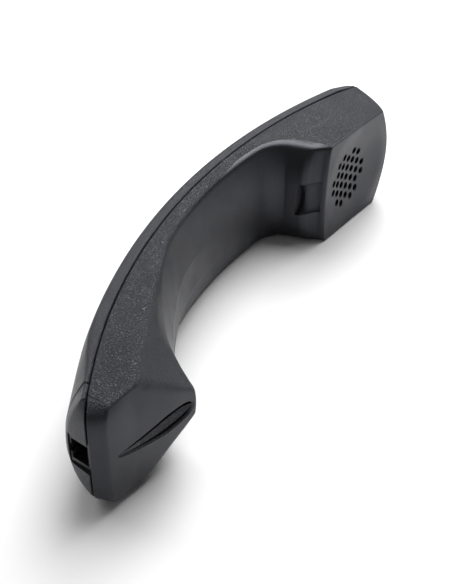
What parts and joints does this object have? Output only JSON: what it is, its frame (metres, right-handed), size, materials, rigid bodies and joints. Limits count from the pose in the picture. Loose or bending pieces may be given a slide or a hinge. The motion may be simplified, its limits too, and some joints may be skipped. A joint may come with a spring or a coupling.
{
  "type": "telephone handset",
  "caption": "Curved telephone handset with a round-holed ear face, a slotted mouthpiece, a hook pocket and a modular cord jack in its mouth end.",
  "frame": {"origin": "middle of the bounding box, on the plane that the handset lies on with one flat side down", "axes": "+X along the handset towards the ear end, -Y the way the ear and mouth faces look, +Z across the width, up as it lies on its side"},
  "size_m": [0.211, 0.0658, 0.0426],
  "materials": {
    "shell": "spark-eroded grain on the sides, fine satin on the faces and the grip",
    "rubber": "matte",
    "nylon": "moulded, semi-matte",
    "steel": "zinc plated",
    "dark_steel": "phosphated",
    "contact_gold": "gold flashed",
    "copper": "enamelled winding",
    "board": "solder resist",
    "film": "thin formed film",
    "cloth": "fine woven screen",
    "foam": "open-cell foam",
    "wire_red": "extruded insulation",
    "wire_black": "extruded insulation",
    "wire_white": "extruded insulation",
    "wire_green": "extruded insulation"
  },
  "bodies": {
    "handset": {"front_shell": "shell", "rear_shell": "shell", "receiver_dust_screen": "cloth", "receiver_gasket": "foam", "receiver_cover": "nylon", "receiver_frame": "nylon", "receiver_top_plate": "dark_steel", "receiver_magnet": "dark_steel", "receiver_yoke": "steel", "receiver_terminal_board": "board", "receiver_clamp": "nylon", "receiver_clamp_screw_1": "steel", "receiver_clamp_screw_2": "steel", "receiver_clamp_screw_3": "steel", "ballast_weight": "steel", "ballast_screw_1": "dark_steel", "ballast_screw_2": "dark_steel", "microphone_boot": "rubber", "microphone_dust_mesh": "cloth", "microphone_capsule": "steel", "microphone_board": "board", "jack_housing": "nylon", "jack_terminal_board": "board", "receiver_lead_red": "wire_red", "receiver_lead_black": "wire_black", "microphone_lead_white": "wire_white", "microphone_lead_green": "wire_green"},
    "receiver_motor": {"receiver_diaphragm": "film", "receiver_voice_coil": "copper"},
    "contact_1": {"jack_contact_1": "contact_gold"},
    "contact_2": {"jack_contact_2": "contact_gold"},
    "contact_3": {"jack_contact_3": "contact_gold"},
    "contact_4": {"jack_contact_4": "contact_gold"}
  },
  "joints": [
    {"name": "diaphragm_travel", "type": "slide", "parent": "handset", "child": "receiver_motor", "axis": [0, -1, 0], "range_m": [-0.0003, 0.0003], "stiffness_N_per_m": 800},
    {"name": "contact_1_flex", "type": "hinge", "parent": "handset", "child": "contact_1", "pos_m": [-0.0925, -0.02243, 0.01939], "axis": [0, 0, 1], "range_deg": [0, 15], "stiffness_Nm_per_rad": 0.02},
    {"name": "contact_2_flex", "type": "hinge", "parent": "handset", "child": "contact_2", "pos_m": [-0.0925, -0.02243, 0.02066], "axis": [0, 0, 1], "range_deg": [0, 15], "stiffness_Nm_per_rad": 0.02},
    {"name": "contact_3_flex", "type": "hinge", "parent": "handset", "child": "contact_3", "pos_m": [-0.0925, -0.02243, 0.02193], "axis": [0, 0, 1], "range_deg": [0, 15], "stiffness_Nm_per_rad": 0.02},
    {"name": "contact_4_flex", "type": "hinge", "parent": "handset", "child": "contact_4", "pos_m": [-0.0925, -0.02243, 0.0232], "axis": [0, 0, 1], "range_deg": [0, 15], "stiffness_Nm_per_rad": 0.02}
  ]
}
